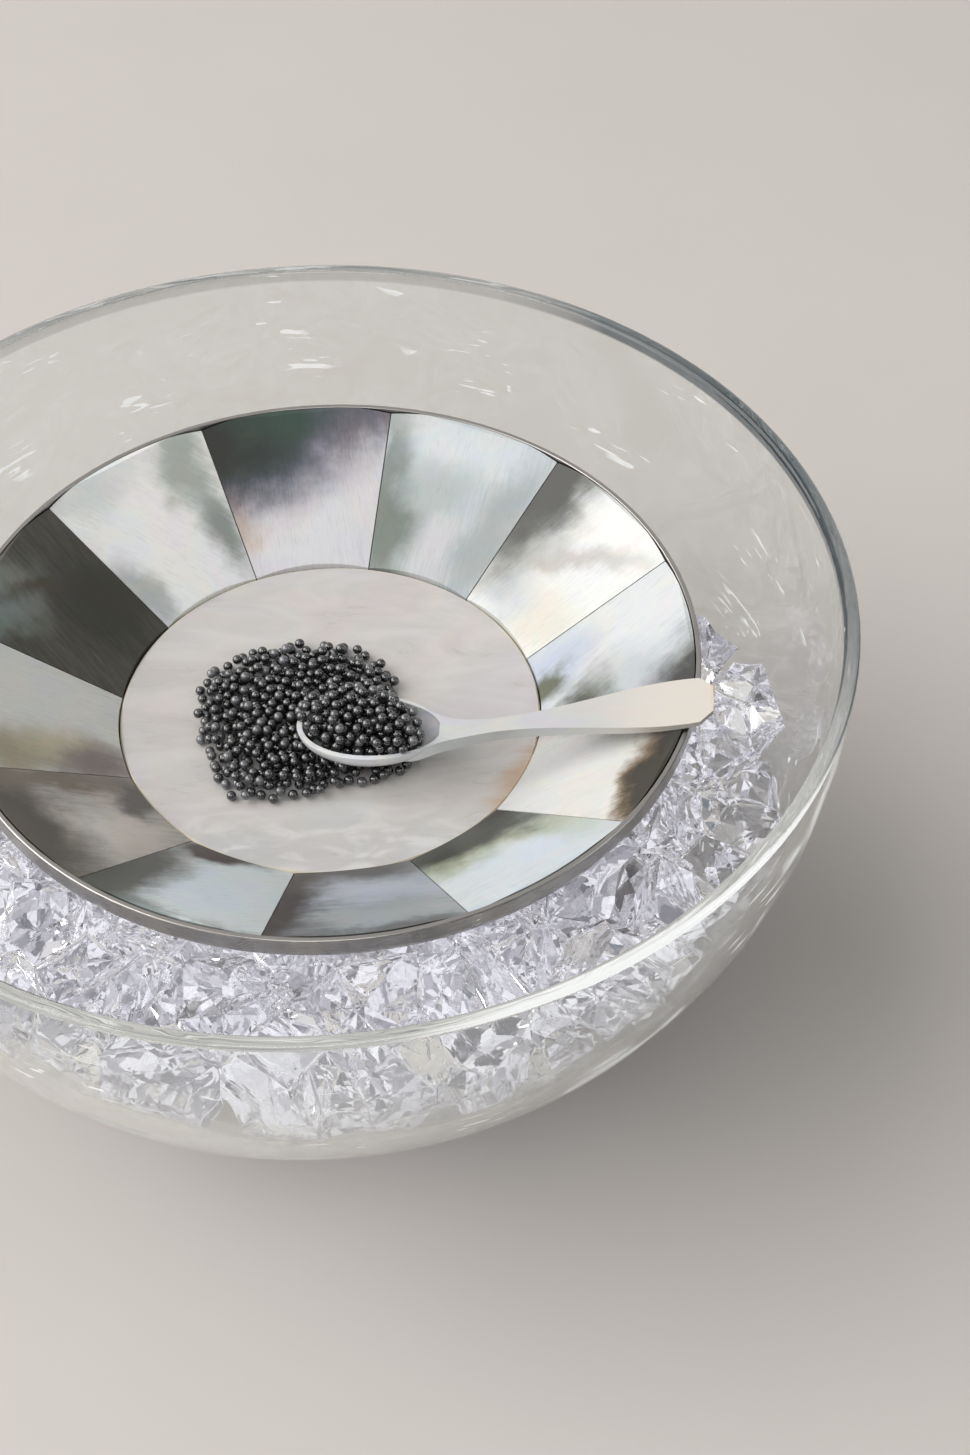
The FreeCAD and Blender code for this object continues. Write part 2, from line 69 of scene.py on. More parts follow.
class Value:
    """An output of a finish's nodes, for use in ordinary expressions."""

    def __init__(self, finish, socket):
        self.finish = finish
        self.socket = socket

    def __add__(self, other):
        return self.finish.math("ADD", self, other)

    def __radd__(self, other):
        return self.finish.math("ADD", other, self)

    def __sub__(self, other):
        return self.finish.math("SUBTRACT", self, other)

    def __rsub__(self, other):
        return self.finish.math("SUBTRACT", other, self)

    def __mul__(self, other):
        return self.finish.math("MULTIPLY", self, other)

    def __rmul__(self, other):
        return self.finish.math("MULTIPLY", other, self)

    def __truediv__(self, other):
        return self.finish.math("DIVIDE", self, other)

    def __rtruediv__(self, other):
        return self.finish.math("DIVIDE", other, self)


class Finish:
    """The nodes of a material, or of the room's light, made by Python expressions."""

    def __init__(self, owner):
        self.owner = owner
        self.owner.use_nodes = True
        self.tree = owner.node_tree
        self.tree.nodes.clear()

    def node(self, kind, settings=None, inputs=None, output=0):
        made = self.tree.nodes.new(kind)
        for name, value in (settings or {}).items():
            if name == "stops":
                self.set_stops(made.color_ramp, value)
            else:
                setattr(made, name, value)
        for name, value in (inputs or {}).items():
            if isinstance(value, Value):
                self.tree.links.new(value.socket, made.inputs[name])
            else:
                made.inputs[name].default_value = value
        return Value(self, made.outputs[output]) if len(made.outputs) else None

    def set_stops(self, ramp, stops):
        while len(ramp.elements) < len(stops):
            ramp.elements.new(0.5)
        for element, (place, colour) in zip(ramp.elements, stops):
            element.position = place
            element.color = colour

    def math(self, operation, *terms):
        return self.node("ShaderNodeMath", {"operation": operation}, dict(enumerate(terms)))

    def vector(self, operation, first, second=(0, 0, 0), output=0):
        return self.node("ShaderNodeVectorMath", {"operation": operation},
                         {0: first, 1: second}, output)

    def length(self, vector):
        return self.vector("LENGTH", vector, output="Value")

    def along(self, at, direction):
        """How far a place lies in a direction."""
        return self.vector("DOT_PRODUCT", at, direction, "Value")

    def from_axis(self, at):
        """How far a place lies from the upright axis."""
        return self.length(self.vector("MULTIPLY", at, (1, 1, 0)))

    def part(self, at, axis):
        return self.node("ShaderNodeSeparateXYZ", {}, {0: at}, axis)

    def joined(self, x=0.0, y=0.0, z=0.0):
        return self.node("ShaderNodeCombineXYZ", {}, {0: x, 1: y, 2: z})

    def place(self):
        """Where a point lies on the object, in millimetres."""
        at = self.node("ShaderNodeTexCoord", output="Object")
        return self.vector("MULTIPLY", at, (1 / mm, 1 / mm, 1 / mm))

    def noise(self, at, size, detail=2.0, roughness=0.5, distortion=0.0, output="Fac"):
        """Cloudy noise whose clouds are about as large as size."""
        return self.node("ShaderNodeTexNoise", {}, {
            "Vector": at, "Scale": 1 / size, "Detail": detail, "Roughness": roughness,
            "Distortion": distortion}, output)

    def step(self, value, low, high, bottom=0.0, top=1.0):
        """A smooth step from bottom to top as the value goes from low to high."""
        return self.node("ShaderNodeMapRange", {"interpolation_type": "SMOOTHSTEP"}, {
            0: value, 1: low, 2: high, 3: bottom, 4: top})

    def from_oval(self, at, middle, turn, half_sizes):
        """How far a place lies from the middle of a turned oval, with 1 at the oval's edge."""
        return self.length(self.node("ShaderNodeMapping", {"vector_type": "TEXTURE"}, {
            "Vector": at, "Location": middle, "Rotation": (0, 0, math.radians(turn)),
            "Scale": half_sizes}))

    def blend(self, first, second, share, mode="MIX"):
        return self.node("ShaderNodeMix", {"data_type": "RGBA", "blend_type": mode}, {
            0: share, 6: first, 7: second}, output=2)

    def ramp(self, value, stops):
        """The colour that the stops give as the value goes from 0 to 1."""
        return self.node("ShaderNodeValToRGB", {"stops": stops}, {0: value})

    def bump(self, height, depth, strength=1.0):
        return self.node("ShaderNodeBump", {}, {
            "Height": height, "Distance": depth, "Strength": strength})

    def principled(self, **inputs):
        named = {name.replace("_", " "): value for name, value in inputs.items()}
        return self.node("ShaderNodeBsdfPrincipled", {}, named)

    def mixed(self, first, second, share):
        return self.node("ShaderNodeMixShader", {}, {0: share, 1: first, 2: second})

    def lets_light_through(self, shader, colour):
        """The shader, but with a plain pale shadow in place of a black one."""
        clear = self.node("ShaderNodeBsdfTransparent", {}, {"Color": colour})
        shadow = self.node("ShaderNodeLightPath", output="Is Shadow Ray")
        return self.mixed(shader, clear, shadow)

    def ends_deep(self, shader, colour, depth):
        """The shader, but a plain glow for light that has been through it many times."""
        bounces = self.node("ShaderNodeLightPath", output="Ray Depth")
        glow = self.principled(Base_Color=(0, 0, 0, 1), Roughness=1.0, Specular_IOR_Level=0.0,
                               Emission_Color=colour, Emission_Strength=1.0)
        return self.mixed(shader, glow, self.math("GREATER_THAN", bounces, depth))

    def show(self, shader):
        self.node("ShaderNodeOutputMaterial", {}, {"Surface": shader})
        return self.owner


def colour(red, green, blue):
    """A colour as it looks on a screen, each part from 0 to 255."""
    def linear(part):
        share = part / 255
        return share / 12.92 if share <= 0.04045 else ((share + 0.055) / 1.055) ** 2.4
    return (linear(red), linear(green), linear(blue), 1.0)


def dress(node, material):
    node.data.materials.clear()
    node.data.materials.append(material)


bowl_radius = 130
bowl_height = 123
glass_ior = 1.47
glass_wave = 26.0
glass_seed = 4.0
wave_depth = 0.35 * mm
glass_tint = colour(250, 252, 251)
painted_shade_tint = colour(80, 90, 96)
# Directions from the axis to the rim's painted-shade side, painted-light side and far side.
to_painted_shade = (0.94 / bowl_radius, 0.34 / bowl_radius, 0)
to_painted_light = (0.80 / bowl_radius, -0.60 / bowl_radius, 0)
to_back = (0, 1 / bowl_radius, 0)
# Glow colours for light that ends deep in the glass, a painted light; the dark greys serve as
# painted shade.
rim_glow = ((0.22, colour(86, 95, 99)), (0.42, colour(162, 163, 161)),
            (0.56, colour(202, 199, 194)), (0.72, colour(250, 251, 250)))
wall_depth = 7.0
rim_depth = 3.0
glint_stretch = (0.055, 0.055, 0.42)
glint_patch = 21.0
glint_share = 0.8

glass = Finish(bpy.data.materials.new("clear_glass"))
at = glass.place()
waves = glass.noise(at, glass_wave, detail=1.0)
seeds = glass.noise(at, glass_seed, detail=0.0)
rim_at = glass.vector("SUBTRACT", at, (0, 0, bowl_height))
below_rim = glass.part(rim_at, "Z")
in_rim = glass.step(below_rim, -9.0, -3.0)
toward_painted_shade = glass.along(rim_at, to_painted_shade)
far_side = glass.along(rim_at, to_back)
# Painted shade: the rim's top is tinted dark grey on its right side and, less, at the back.
painted_rim_shade = glass.step(below_rim, -3.4, -2.4) * (
    glass.step(toward_painted_shade, 0.60, 0.95, 0, 0.9) + glass.step(far_side, 0.1, 0.8, 0, 0.45))
glass_shader = glass.principled(
    Base_Color=glass.blend(glass_tint, painted_shade_tint, painted_rim_shade), Roughness=0.0, IOR=glass_ior,
    Transmission_Weight=1.0, Normal=glass.bump(waves + seeds * 0.01, wave_depth))
round_rim = glass.vector("MULTIPLY", rim_at, (0.03, 0.03, 1.2))
rim_glow_level = glass.noise(
    glass.vector("ADD", round_rim, glass.joined(z=glass.from_axis(rim_at) * 1.6)), 1.0, 2.0)
# Painted shade and light: the rim's glow is darker on its right side and brighter at its lower
# right.
rim_glow_level = (rim_glow_level - glass.step(toward_painted_shade, 0.66, 0.94, 0, 0.44)
           + glass.step(glass.along(rim_at, to_painted_light), 0.66, 0.94, 0, 0.48))
glass_shader = glass.ends_deep(
    glass_shader, glass.ramp(rim_glow_level, rim_glow), wall_depth - in_rim * (wall_depth - rim_depth))
# Painted glints: short curved white strokes that glow in patches of the glass.
glint_strokes = glass.noise(glass.vector("MULTIPLY", at, glint_stretch), 1.0, 1.0, 0.4, 1.5)
glint_patches = glass.noise(at, glint_patch, 1.0)
glinting = glass.step(glint_strokes, 0.69, 0.72) * glass.step(glint_patches, 0.54, 0.62) * glint_share
painted_glint = glass.principled(
    Base_Color=colour(120, 120, 120), Roughness=0.1,
    Emission_Color=colour(236, 236, 234), Emission_Strength=0.9)
glass_shader = glass.mixed(glass_shader, painted_glint, glinting)
dress(solids["glass_bowl"], glass.show(
    glass.lets_light_through(glass_shader, colour(253, 253, 253))))


# Dish shell: spun from sheet metal and plated. Only its rim band is seen, rubbed to a satin
# finish with fine lines round the dish.

dish_middle = (3.6, 0.3, 107.5)
lines_per_mm = 5
metal = Finish(bpy.data.materials.new("plated_metal"))
at = metal.place()
local = metal.vector("SUBTRACT", at, dish_middle)
rings = metal.noise(metal.joined(
    metal.from_axis(local) * lines_per_mm, metal.part(local, "Z") * lines_per_mm), 1.0, 1.0)
smears = metal.noise(at, 7.0, 3.0)
metal_shader = metal.principled(
    Base_Color=metal.blend(colour(150, 147, 144), colour(167, 164, 161), smears),
    Metallic=1.0, Roughness=rings * 0.08 + smears * 0.05 + 0.22,
    Normal=metal.bump(rings, 0.05 * mm, 0.4))
dress(solids["dish_shell"], metal.show(metal_shader))


# Setting resin: a dark brown filled resin that beds the slips, seen as thin lines at the joints,
# round the centre slip and inside the metal rim. It is rubbed down with the slips.

resin = Finish(bpy.data.materials.new("dark_resin"))
specks = resin.noise(resin.place(), 0.6, 2.0)
resin_shader = resin.principled(
    Base_Color=resin.blend(colour(38, 33, 29), colour(74, 66, 60), specks),
    Roughness=specks * 0.2 + 0.4, Normal=resin.bump(specks, 0.05 * mm, 0.5))
dress(solids["setting_resin"], resin.show(resin_shader))


# Pearl slips: twelve flat slips sawn from black-lip oyster shell, ground flush and polished.
# Each has its own clouds of white, silver and charcoal nacre, with fine growth lines and a faint
# play of colour. Resin holds it in the dish.

slip_inner = 51.9
slip_outer = 88.4
cloud_drift = 15.0
drift_reach = (0.85, 0.50, 0.0)
growth_stretch = (0.10, 0.9)
fibre_warp = 0.18
fine_fibre_warp = 0.07
fibre_contrast = 0.65
fine_fibre_shade = 0.34
cloud_cover = 0.96
play_size = 14.0
play_share = 0.14
snow = colour(238, 238, 236)
charcoal = colour(50, 51, 48)
olive = colour(78, 79, 66)

# name: first joint, last joint, direction of the growth lines, main colour, and clouds as
# (across, outwards, half width, half length, turn, softness, colour). Across goes from -1 at the
# first joint to 1 at the next one anticlockwise, and outwards from 0 at the centre slip to 1.
slips = {
    "pearl_tile_01": (-9.6, 20.2, 30, colour(198, 202, 206), (
        (0.6, 0.8, 0.6, 0.4, 0, 0.7, colour(220, 221, 221)),
        (0.45, 0.14, 0.5, 0.2, 0, 0.6, colour(192, 198, 214)),
        (-0.4, 0.6, 0.4, 0.3, 20, 0.7, colour(190, 195, 197)),
        (0.15, 0.05, 0.28, 0.13, 0, 0.5, colour(100, 102, 82)),
        (-0.8, 0.22, 0.6, 0.2, 10, 0.5, olive), (-1.1, 1.02, 0.8, 0.34, 0, 0.35, charcoal))),
    "pearl_tile_02": (20.2, 49.7, 205, colour(221, 221, 219), (
        (-0.2, 0.85, 0.8, 0.22, 0, 0.7, colour(232, 232, 232)),
        (0.1, 0.5, 0.9, 0.1, -20, 0.8, colour(186, 182, 176)),
        (-0.5, 0.2, 0.5, 0.2, 0, 0.7, colour(214, 210, 200)),
        (0.5, 0.2, 0.5, 0.16, 0, 0.7, colour(190, 193, 197)),
        (1.05, 0.9, 0.75, 0.62, 35, 0.45, colour(140, 142, 138)),
        (1.15, 1.0, 0.72, 0.6, 35, 0.3, colour(42, 42, 37)))),
    "pearl_tile_03": (49.7, 80.8, 250, colour(188, 194, 200), (
        (0.9, 0.6, 0.25, 0.6, 0, 0.7, colour(134, 142, 138)),
        (0.75, 0.2, 0.4, 0.32, 0, 0.7, colour(118, 127, 120)),
        (0.1, 0.85, 0.7, 0.2, 0, 0.7, colour(214, 219, 223)),
        (-0.75, 0.35, 0.3, 0.4, 0, 0.7, colour(168, 174, 176)),
        (0.25, 0.5, 0.4, 0.2, 0, 0.7, colour(180, 188, 190)),
        (-0.1, 0.2, 0.2, 0.13, 20, 0.7, colour(204, 206, 209)))),
    "pearl_tile_04": (80.8, 113.3, 100, colour(222, 219, 226), (
        (0.2, 0.3, 0.7, 0.3, 0, 0.7, colour(232, 230, 234)),
        (-0.75, 1.0, 0.7, 0.24, 0, 0.5, colour(116, 106, 100)),
        (0.95, 0.3, 0.25, 0.2, 0, 0.6, colour(216, 196, 184)),
        (0.9, 0.98, 1.6, 0.62, 0, 0.35, colour(122, 118, 142)),
        (1.0, 1.0, 1.45, 0.53, 0, 0.3, colour(66, 80, 76)),
        (1.1, 0.95, 0.9, 0.45, 0, 0.5, charcoal),
        (0.1, 0.92, 0.45, 0.12, 0, 0.9, colour(62, 80, 72)))),
    "pearl_tile_05": (113.3, 144.3, 165, colour(253, 253, 253), (
        (0.1, 0.55, 0.6, 0.5, 0, 0.8, colour(254, 254, 254)),
        (-0.65, 0.75, 0.26, 0.28, 0, 0.8, colour(178, 184, 178)),
        (-0.8, 0.28, 0.26, 0.22, 20, 0.7, colour(150, 156, 149)),
        (0.55, 0.95, 0.6, 0.14, 0, 0.8, colour(226, 229, 230)),
        (0.9, 0.15, 0.25, 0.3, 0, 0.7, colour(186, 189, 188)))),
    "pearl_tile_06": (144.3, 173.8, 140, colour(75, 73, 66), (
        (0.45, 0.9, 0.42, 0.2, 0, 0.9, colour(136, 141, 135)),
        (0.05, 0.7, 0.6, 0.08, 25, 0.9, colour(84, 78, 67)),
        (0.8, 0.92, 0.3, 0.18, 0, 0.8, colour(126, 142, 140)),
        (-0.5, 0.3, 0.7, 0.35, 0, 0.6, colour(66, 65, 59)))),
    "pearl_tile_07": (173.8, 204.0, 185, colour(207, 207, 204), (
        (-0.5, 0.5, 0.5, 0.5, 0, 0.8, colour(218, 218, 215)),
        (0.75, 0.6, 0.35, 0.6, 0, 0.8, colour(160, 152, 132)),
        (0.5, 0.35, 0.3, 0.2, 0, 0.8, colour(190, 182, 160)),
        (0.85, 0.15, 0.35, 0.2, 0, 0.7, colour(134, 122, 118)))),
    "pearl_tile_08": (204.0, 232.8, 200, colour(172, 165, 157), (
        (0.3, 0.4, 0.5, 0.3, 0, 0.8, colour(212, 206, 200)),
        (0.0, 1.02, 1.3, 0.38, 0, 0.5, colour(74, 69, 60)),
        (-0.3, 0.04, 0.5, 0.14, 0, 0.6, colour(100, 98, 95)),
        (-0.85, 0.5, 0.2, 0.5, 0, 0.8, colour(118, 108, 96)))),
    "pearl_tile_09": (232.8, 262.5, 190, colour(208, 214, 216), (
        (0.2, 0.5, 0.7, 0.42, 0, 0.8, colour(222, 232, 238)),
        (0.0, 1.02, 1.1, 0.12, 0, 0.6, colour(140, 148, 147)),
        (-0.95, 0.7, 0.6, 0.55, 20, 0.45, colour(60, 60, 53)),
        (-0.35, 0.0, 0.75, 0.15, 0, 0.4, colour(62, 48, 45)))),
    "pearl_tile_10": (262.5, 292.8, 180, colour(150, 157, 166), (
        (0.2, 0.38, 0.9, 0.13, 0, 0.8, colour(190, 196, 210)),
        (0.3, 0.72, 0.8, 0.1, 0, 0.8, colour(172, 177, 180)),
        (0.2, 0.98, 1.2, 0.1, 0, 0.6, colour(106, 109, 110)),
        (0.1, 0.0, 1.1, 0.17, 0, 0.6, colour(92, 90, 90)),
        (-1.0, 0.5, 0.5, 0.8, 0, 0.5, colour(70, 63, 60)))),
    "pearl_tile_11": (292.8, 321.6, 215, colour(204, 213, 220), (
        (0.2, 0.7, 0.8, 0.3, 0, 0.8, colour(214, 222, 230)),
        (0.9, 0.5, 0.3, 0.3, 0, 0.8, colour(196, 203, 194)),
        (-0.1, 0.24, 1.3, 0.17, 6, 0.6, colour(172, 178, 156)),
        (0.0, 0.02, 1.5, 0.27, 6, 0.35, colour(60, 61, 57)),
        (0.8, 0.0, 0.4, 0.12, 0, 0.5, colour(54, 51, 47)))),
    "pearl_tile_12": (321.6, 350.4, 195, colour(214, 212, 208), (
        (0.0, 0.4, 0.8, 0.4, 0, 0.8, colour(220, 219, 216)),
        (0.95, 0.75, 0.2, 0.6, 0, 0.7, colour(146, 134, 122)),
        (-0.5, 0.92, 1.0, 0.12, -10, 0.5, colour(164, 136, 104)),
        (-0.5, 1.12, 1.2, 0.29, -10, 0.3, colour(44, 42, 35)))),
}


def polar(degrees):
    return (math.cos(math.radians(degrees)), math.sin(math.radians(degrees)), 0.0)


def play_of_colour(finish, at, size):
    """Soft bands of pink, yellow, green and blue, as thin layers of nacre show."""
    return finish.ramp(finish.noise(at, size, 2.0, 0.5, 0.8), (
        (0.30, colour(226, 196, 212)), (0.42, colour(236, 226, 190)),
        (0.52, colour(196, 228, 206)), (0.62, colour(188, 208, 236)),
        (0.72, colour(224, 200, 226))))


def slip_material(name, first, last, growth, main, clouds):
    slip = Finish(bpy.data.materials.new("black_lip_pearl_" + name[-2:]))
    middle = (first + last) / 2
    half_width = math.tan(math.radians((last - first) / 2))
    at = slip.vector("SUBTRACT", slip.place(), dish_middle)
    outwards = slip.along(at, polar(middle))
    across = slip.along(at, polar(middle + 90))
    drawn = slip.joined(slip.along(at, polar(growth)) * growth_stretch[0],
                        slip.along(at, polar(growth + 90)) * growth_stretch[1], first)
    fibres = slip.noise(drawn, 1.0, 4.0, 0.6, 0.6)
    fine_fibres = slip.noise(drawn, 0.35, 3.0, 0.6, 0.4)
    spot = slip.joined(
        across / (outwards * half_width) + (fibres - 0.5) * fibre_warp,
        (outwards - slip_inner) / (slip_outer - slip_inner)
        + (fine_fibres - 0.5) * fine_fibre_warp)
    drift = slip.noise(at, cloud_drift, 5.0, 0.58, output="Color")
    drift = slip.vector("SUBTRACT", drift, (0.5, 0.5, 0.5))
    spot = slip.vector("ADD", spot, slip.vector("MULTIPLY", drift, drift_reach))
    # The fibres are paler than the rest, and more so in a pale slip.
    paleness = main[1]
    pale_fibre = [part + (white - part) * paleness for part, white in zip(main, snow)]
    shade = slip.blend(main, pale_fibre, slip.step(fibres, 0.3, 0.7, 0, fibre_contrast))
    for over, out, half_over, half_out, turn, softness, tone in clouds:
        far = slip.from_oval(spot, (over, out, 0), turn, (half_over, half_out, 1))
        covered = slip.step(far, 1 - softness, 1.1 + softness, cloud_cover, 0.0)
        shade = slip.blend(shade, tone, covered)
    shade = slip.blend(shade, play_of_colour(slip, at, play_size), play_share, "MULTIPLY")
    shade = slip.blend(shade, colour(200, 200, 197),
                       slip.step(fine_fibres, 0.50, 0.78, 0.0, fine_fibre_shade), "MULTIPLY")
    return slip.show(slip.principled(
        Base_Color=shade, Roughness=fibres * 0.12 + 0.3, Specular_IOR_Level=0.2,
        Coat_Weight=0.4, Coat_Roughness=0.08, Coat_IOR=1.45,
        Normal=slip.bump(fine_fibres + fibres, 0.03 * mm, 0.4)))


for name, details in slips.items():
    dress(solids[name], slip_material(name, *details))


# Centre slip: one round slip of white mother-of-pearl, flat, with a thin bevel round its edge.
# It is creamy, with broad waves of growth and a brown stain at the right-hand edge. Its front
# has painted shade and reflection, and paler ripples there, a painted sheen on the nacre's ripples.

disc_radius = 51.6
disc_stretch = (0.35, 1.0, 1.0)
stain_middle = (47, -22, -22.5)
stain_turn = 62
stain_half_sizes = (15, 6, 6)
white_pearl = Finish(bpy.data.materials.new("white_pearl_disc"))
at = white_pearl.vector("SUBTRACT", white_pearl.place(), dish_middle)
drawn = white_pearl.vector("MULTIPLY", at, disc_stretch)
waves = white_pearl.noise(drawn, 9.0, 4.0, 0.55, 1.2)
lines = white_pearl.noise(drawn, 7.0, 2.0, 0.5, 2.0)
front_painted_light = white_pearl.step(white_pearl.part(at, "Y"), -46, -22, 1, 0)
ripple_and_sheen = white_pearl.step(lines, 0.42, 0.72) * front_painted_light
at_edge = white_pearl.step(
    white_pearl.from_axis(at), disc_radius - 0.8, disc_radius - 0.2, 0, 0.6)
stained = white_pearl.from_oval(at, stain_middle, stain_turn, stain_half_sizes)
stained = white_pearl.step(stained + (lines - 0.5) * 1.2, 0.3, 1.2, 0.6, 0)
shade = white_pearl.blend(
    colour(203, 199, 197), colour(215, 211, 210), white_pearl.step(waves, 0.3, 0.7))
shade = white_pearl.blend(shade, play_of_colour(white_pearl, at, 24.0), 0.12, "MULTIPLY")
# Painted shade and reflection: the front of the slip is darker.
shade = white_pearl.blend(shade, colour(176, 177, 178), front_painted_light * 0.5)
# Painted sheen: the nacre's ripples are paler in front.
shade = white_pearl.blend(shade, colour(244, 243, 240), ripple_and_sheen * 0.36)
shade = white_pearl.blend(
    shade, colour(202, 197, 190), white_pearl.step(lines, 0.40, 0.30, 0, 0.2))
shade = white_pearl.blend(shade, colour(226, 214, 178), at_edge)
shade = white_pearl.blend(shade, colour(186, 142, 98), stained)
dress(solids["centre_disc"], white_pearl.show(white_pearl.principled(
    Base_Color=shade, Roughness=waves * 0.15 + 0.22, Coat_Weight=0.6, Coat_Roughness=0.08,
    Normal=white_pearl.bump(waves + lines * 0.3, 0.12 * mm, 0.4))))


# Crushed ice: broken lumps of clear ice, 15 to 25 mm across, heaped in the bowl round the dish.
# Each lump of the frame gets the hollow facets and chipped edges that ice breaks with, and one
# crack right through it.

ice_seed = 7
facet_hollow = 0.22
edge_chip = 0.10
crack_gap = 0.12 * mm
crack_off_middle = 0.35
same_plane = 0.9998


def flat_faces(mesh):
    """The mesh's triangles joined into flat polygons, each a loop of corner places."""
    number_at = {}
    corners = []
    merged = []
    for vertex in mesh.vertices:
        key = tuple(round(c, 6) for c in vertex.co)
        if key not in number_at:
            number_at[key] = len(corners)
            corners.append(vertex.co.copy())
        merged.append(number_at[key])
    mesh.calc_loop_triangles()
    triangles = [tuple(merged[i] for i in t.vertices) for t in mesh.loop_triangles]
    triangles = [t for t in triangles if len(set(t)) == 3]
    owner = {}
    normals = []
    for index, (a, b, c) in enumerate(triangles):
        owner.update({(a, b): index, (b, c): index, (c, a): index})
        normals.append((corners[b] - corners[a]).cross(corners[c] - corners[a]).normalized())
    done = set()
    faces = []
    for start in range(len(triangles)):
        if start in done:
            continue
        group = [start]
        done.add(start)
        for index in group:
            triangle = triangles[index]
            for i in range(3):
                beside = owner.get((triangle[i], triangle[i - 1]))
                if beside is None or beside in done:
                    continue
                if normals[start].dot(normals[beside]) > same_plane:
                    done.add(beside)
                    group.append(beside)
        inner = {(triangles[g][i - 1], triangles[g][i]) for g in group for i in range(3)}
        rim = {a: b for a, b in inner if (b, a) not in inner}
        first = next(iter(rim))
        loop = [first]
        while rim[loop[-1]] != first and len(loop) <= len(rim):
            loop.append(rim[loop[-1]])
        faces.append(loop)
    return corners, faces


def lumps_of(corners, faces):
    """The faces of each lump, as lists of corner places."""
    parent = list(range(len(corners)))

    def root(corner):
        while parent[corner] != corner:
            parent[corner] = parent[parent[corner]]
            corner = parent[corner]
        return corner

    for loop in faces:
        for corner in loop[1:]:
            parent[root(corner)] = root(loop[0])
    lumps = {}
    for loop in faces:
        lumps.setdefault(root(loop[0]), []).append([corners[c] for c in loop])
    return list(lumps.values())


def cut_off(faces, normal, limit):
    """A lump without what lies beyond normal * point = limit."""
    kept = []
    rim = []
    for loop in faces:
        heights = [normal.dot(p) - limit for p in loop]
        trimmed = []
        for i in range(len(loop)):
            here, there = loop[i - 1], loop[i]
            a, b = heights[i - 1], heights[i]
            if a <= 0:
                trimmed.append(here)
            if (a < 0 < b) or (b < 0 < a):
                crossing = here.lerp(there, a / (a - b))
                trimmed.append(crossing)
                rim.append(crossing)
        if len(trimmed) > 2:
            kept.append(trimmed)
    if len(rim) > 2:
        centre = sum(rim, Vector()) / len(rim)
        across = (rim[0] - centre).normalized()
        up = normal.cross(across)
        rim.sort(key=lambda p: math.atan2((p - centre).dot(up), (p - centre).dot(across)))
        cap = [p for i, p in enumerate(rim) if (p - rim[i - 1]).length > 1e-6]
        if len(cap) > 2:
            kept.append(cap)
    return kept


def cracked(faces, chance):
    """The two shards that a lump cracks into, at a flat cut near its middle."""
    points = [p for loop in faces for p in loop]
    middle = sum(points, Vector()) / len(points)
    normal = Vector([chance.gauss(0, 1) for _ in range(3)]).normalized()
    reach = max(normal.dot(p - middle) for p in points)
    limit = normal.dot(middle) + reach * chance.uniform(-crack_off_middle, crack_off_middle)
    halves = (cut_off(faces, normal, limit - crack_gap),
              cut_off(faces, -normal, -limit - crack_gap))
    return [half for half in halves if len(half) > 3]


def facets(faces, chance, points, shards):
    """Add a shard's faces, each sunk to a point, with its edges bent inwards a little."""
    number_at = {}
    halfway = {}
    every = [p for loop in faces for p in loop]
    middle = sum(every, Vector()) / len(every)

    def number(point):
        key = tuple(round(c, 7) for c in point)
        if key not in number_at:
            number_at[key] = len(points)
            points.append(point)
        return number_at[key]

    def between(a, b):
        key = (min(a, b), max(a, b))
        if key not in halfway:
            point = points[key[0]].lerp(points[key[1]], chance.uniform(0.3, 0.7))
            length = (points[a] - points[b]).length
            halfway[key] = len(points)
            inwards = (middle - point).normalized() * length
            points.append(point + inwards * chance.uniform(0, edge_chip))
        return halfway[key]

    for loop in faces:
        ring = [number(p) for p in loop]
        centre = sum(loop, Vector()) / len(loop)
        reach = sum((p - centre).length for p in loop) / len(loop)
        centre = centre.lerp(chance.choice(loop), chance.uniform(0.0, 0.5))
        sunk = len(points)
        inwards = (middle - centre).normalized() * reach
        points.append(centre + inwards * chance.uniform(0.02, facet_hollow))
        for i in range(len(ring)):
            half = between(ring[i - 1], ring[i])
            shards.append((ring[i - 1], half, sunk))
            shards.append((half, ring[i], sunk))


chance = random.Random(ice_seed)
ice_points = []
ice_shards = []
for lump in lumps_of(*flat_faces(solids["crushed_ice"].data)):
    for shard in cracked(lump, chance):
        facets(shard, chance, ice_points, ice_shards)
ice_mesh = bpy.data.meshes.new("crushed_ice_lumps")
ice_mesh.from_pydata([tuple(p) for p in ice_points], [], ice_shards)
ice_mesh.update()
ice_lumps = bpy.data.objects.new("crushed_ice_lumps", ice_mesh)
bpy.context.scene.collection.objects.link(ice_lumps)

ice_ior = 1.31
ice_depth = 5
ice_glow = ((0.0, colour(116, 116, 120)), (0.2, colour(163, 162, 167)),
            (0.6, colour(196, 195, 201)), (0.88, colour(248, 248, 251)))
flakes_per_mm = 0.14
frost_share = 0.22
ice = Finish(bpy.data.materials.new("ice"))
at = ice.place()
flakes = ice.node("ShaderNodeTexVoronoi", {}, {"Vector": at, "Scale": flakes_per_mm}, "Color")
flake = ice.node("ShaderNodeSeparateColor", {}, {0: flakes}, "Red")
clear_ice = ice.principled(
    Base_Color=colour(253, 253, 255), Roughness=0.0, IOR=ice_ior, Transmission_Weight=1.0)
clear_ice = ice.ends_deep(clear_ice, ice.ramp(flake, ice_glow), ice_depth)
frost = ice.principled(Base_Color=colour(240, 240, 247), Roughness=0.25, Coat_Weight=0.5)
frosted = ice.step(ice.noise(at, 5.0, 2.0, 0.5, 1.0), 0.60, 0.66, 0.0, frost_share)
dress(ice_lumps, ice.show(ice.lets_light_through(
    ice.mixed(clear_ice, frost, frosted), colour(251, 251, 252))))
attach(ice_lumps, "root")
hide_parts("crushed_ice")


# Spoon: carved in one piece from white mother-of-pearl and polished. The bowl is milky white,
# and the handle shows green, pink and yellow in turn, with a warm edge at its end.

